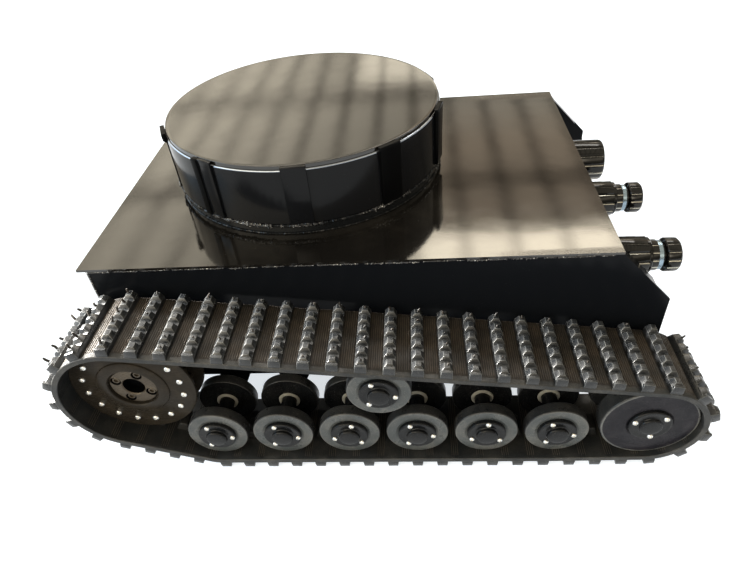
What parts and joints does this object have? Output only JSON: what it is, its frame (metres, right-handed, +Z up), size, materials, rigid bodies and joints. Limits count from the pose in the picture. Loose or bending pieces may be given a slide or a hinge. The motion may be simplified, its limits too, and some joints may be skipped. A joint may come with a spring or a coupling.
{
  "type": "tracked tank chassis",
  "caption": "Tracked robot base: welded hull with a lidded round turret drum, sprockets, idlers, road wheels and lugged rubber belts on both sides.",
  "frame": {"origin": "on the ground under the belt lugs, at the middle of the footprint", "axes": "+X to the rear (idler and connector end), +Y to the right side, +Z up; the drive sprockets are at the -X end"},
  "size_m": [0.7451, 0.6362, 0.3304],
  "materials": {
    "hull_paint": "black gloss",
    "deck_paint": "black high gloss, dusty",
    "belt_rubber": "moulded matte",
    "wheel_polymer": "satin",
    "black_steel": "satin",
    "connector_shell": "satin",
    "motor_steel": "satin",
    "battery_wrap": "satin",
    "controller_case": "anodised",
    "bare_steel": "satin"
  },
  "bodies": {
    "hull": {"bottom_plate": "hull_paint", "side_plate_left": "hull_paint", "side_plate_right": "hull_paint", "front_plate": "hull_paint", "rear_panel": "hull_paint", "top_plate": "deck_paint", "turret_neck": "hull_paint", "turret_drum": "hull_paint", "gear_motor_left": "motor_steel", "gear_motor_right": "motor_steel", "battery_pack": "battery_wrap", "motor_controller": "controller_case", "connector_socket_1": "connector_shell", "connector_socket_2": "connector_shell", "connector_socket_3": "connector_shell", "connector_plug_1": "connector_shell", "connector_plug_2": "connector_shell", "track_belt_left": "belt_rubber", "track_belt_right": "belt_rubber"},
    "lid": {"turret_lid": "deck_paint"},
    "coupling_nut_front": {"coupling_nut_1": "connector_shell"},
    "coupling_nut_middle": {"coupling_nut_2": "connector_shell"},
    "end_nut_front": {"end_nut_1": "connector_shell"},
    "end_nut_middle": {"end_nut_2": "connector_shell"},
    "screw_cap": {"connector_screw_cap": "connector_shell"},
    "sprocket_left": {"drive_sprocket_left": "black_steel", "drive_hub_left": "black_steel"},
    "tensioner_left": {"idler_tensioner_left": "black_steel"},
    "idler_left": {"idler_wheel_left": "wheel_polymer"},
    "roller_left": {"return_roller_left": "wheel_polymer"},
    "wheels_left_1": {"outer_wheel_left_1": "wheel_polymer", "inner_wheel_left_1": "wheel_polymer"},
    "wheels_left_2": {"outer_wheel_left_2": "wheel_polymer", "inner_wheel_left_2": "wheel_polymer"},
    "wheels_left_3": {"outer_wheel_left_3": "wheel_polymer", "inner_wheel_left_3": "wheel_polymer"},
    "wheels_left_4": {"outer_wheel_left_4": "wheel_polymer", "inner_wheel_left_4": "wheel_polymer"},
    "wheels_left_5": {"outer_wheel_left_5": "wheel_polymer", "inner_wheel_left_5": "wheel_polymer"},
    "wheels_left_6": {"outer_wheel_left_6": "wheel_polymer", "inner_wheel_left_6": "wheel_polymer"},
    "sprocket_right": {"drive_sprocket_right": "black_steel", "drive_hub_right": "black_steel"},
    "tensioner_right": {"idler_tensioner_right": "black_steel"},
    "idler_right": {"idler_wheel_right": "wheel_polymer"},
    "roller_right": {"return_roller_right": "wheel_polymer"},
    "wheels_right_1": {"outer_wheel_right_1": "wheel_polymer", "inner_wheel_right_1": "wheel_polymer"},
    "wheels_right_2": {"outer_wheel_right_2": "wheel_polymer", "inner_wheel_right_2": "wheel_polymer"},
    "wheels_right_3": {"outer_wheel_right_3": "wheel_polymer", "inner_wheel_right_3": "wheel_polymer"},
    "wheels_right_4": {"outer_wheel_right_4": "wheel_polymer", "inner_wheel_right_4": "wheel_polymer"},
    "wheels_right_5": {"outer_wheel_right_5": "wheel_polymer", "inner_wheel_right_5": "wheel_polymer"},
    "wheels_right_6": {"outer_wheel_right_6": "wheel_polymer", "inner_wheel_right_6": "wheel_polymer"}
  },
  "joints": [
    {"name": "lid_lift", "type": "slide", "parent": "hull", "child": "lid", "axis": [0, 0, 1], "range_m": [0, 0.12]},
    {"name": "coupling_nut_front_turn", "type": "hinge", "parent": "hull", "child": "coupling_nut_front", "pos_m": [0.3, -0.1745, 0.2042], "axis": [1, 0, 0], "continuous": true},
    {"name": "coupling_nut_middle_turn", "type": "hinge", "parent": "hull", "child": "coupling_nut_middle", "pos_m": [0.3, -0.0525, 0.2042], "axis": [1, 0, 0], "continuous": true},
    {"name": "end_nut_front_turn", "type": "hinge", "parent": "hull", "child": "end_nut_front", "pos_m": [0.3, -0.1745, 0.2042], "axis": [1, 0, 0], "continuous": true},
    {"name": "end_nut_middle_turn", "type": "hinge", "parent": "hull", "child": "end_nut_middle", "pos_m": [0.3, -0.0525, 0.2042], "axis": [1, 0, 0], "continuous": true},
    {"name": "screw_cap_turn", "type": "hinge", "parent": "hull", "child": "screw_cap", "pos_m": [0.3, 0.0511, 0.2042], "axis": [1, 0, 0], "continuous": true},
    {"name": "sprocket_left_turn", "type": "hinge", "parent": "hull", "child": "sprocket_left", "pos_m": [-0.2817, -0.29, 0.1266], "axis": [0, 1, 0], "continuous": true},
    {"name": "tensioner_left_slide", "type": "slide", "parent": "hull", "child": "tensioner_left", "axis": [1, 0, 0], "range_m": [-0.005, 0]},
    {"name": "idler_left_turn", "type": "hinge", "parent": "tensioner_left", "child": "idler_left", "pos_m": [0.3019, -0.29, 0.0734], "axis": [0, 1, 0], "continuous": true},
    {"name": "roller_left_turn", "type": "hinge", "parent": "hull", "child": "roller_left", "pos_m": [0.0039, -0.29, 0.12778], "axis": [0, 1, 0], "continuous": true},
    {"name": "wheels_left_1_turn", "type": "hinge", "parent": "hull", "child": "wheels_left_1", "pos_m": [-0.1958, -0.29, 0.0546], "axis": [0, 1, 0], "continuous": true},
    {"name": "wheels_left_2_turn", "type": "hinge", "parent": "hull", "child": "wheels_left_2", "pos_m": [-0.1158, -0.29, 0.0546], "axis": [0, 1, 0], "continuous": true},
    {"name": "wheels_left_3_turn", "type": "hinge", "parent": "hull", "child": "wheels_left_3", "pos_m": [-0.0358, -0.29, 0.0546], "axis": [0, 1, 0], "continuous": true},
    {"name": "wheels_left_4_turn", "type": "hinge", "parent": "hull", "child": "wheels_left_4", "pos_m": [0.0442, -0.29, 0.0546], "axis": [0, 1, 0], "continuous": true},
    {"name": "wheels_left_5_turn", "type": "hinge", "parent": "hull", "child": "wheels_left_5", "pos_m": [0.1242, -0.29, 0.0546], "axis": [0, 1, 0], "continuous": true},
    {"name": "wheels_left_6_turn", "type": "hinge", "parent": "hull", "child": "wheels_left_6", "pos_m": [0.2042, -0.29, 0.0546], "axis": [0, 1, 0], "continuous": true},
    {"name": "sprocket_right_turn", "type": "hinge", "parent": "hull", "child": "sprocket_right", "pos_m": [-0.2817, 0.29, 0.1266], "axis": [0, 1, 0], "continuous": true},
    {"name": "tensioner_right_slide", "type": "slide", "parent": "hull", "child": "tensioner_right", "axis": [1, 0, 0], "range_m": [-0.005, 0]},
    {"name": "idler_right_turn", "type": "hinge", "parent": "tensioner_right", "child": "idler_right", "pos_m": [0.3019, 0.29, 0.0734], "axis": [0, 1, 0], "continuous": true},
    {"name": "roller_right_turn", "type": "hinge", "parent": "hull", "child": "roller_right", "pos_m": [0.0039, 0.29, 0.12778], "axis": [0, 1, 0], "continuous": true},
    {"name": "wheels_right_1_turn", "type": "hinge", "parent": "hull", "child": "wheels_right_1", "pos_m": [-0.1958, 0.29, 0.0546], "axis": [0, 1, 0], "continuous": true},
    {"name": "wheels_right_2_turn", "type": "hinge", "parent": "hull", "child": "wheels_right_2", "pos_m": [-0.1158, 0.29, 0.0546], "axis": [0, 1, 0], "continuous": true},
    {"name": "wheels_right_3_turn", "type": "hinge", "parent": "hull", "child": "wheels_right_3", "pos_m": [-0.0358, 0.29, 0.0546], "axis": [0, 1, 0], "continuous": true},
    {"name": "wheels_right_4_turn", "type": "hinge", "parent": "hull", "child": "wheels_right_4", "pos_m": [0.0442, 0.29, 0.0546], "axis": [0, 1, 0], "continuous": true},
    {"name": "wheels_right_5_turn", "type": "hinge", "parent": "hull", "child": "wheels_right_5", "pos_m": [0.1242, 0.29, 0.0546], "axis": [0, 1, 0], "continuous": true},
    {"name": "wheels_right_6_turn", "type": "hinge", "parent": "hull", "child": "wheels_right_6", "pos_m": [0.2042, 0.29, 0.0546], "axis": [0, 1, 0], "continuous": true}
  ]
}
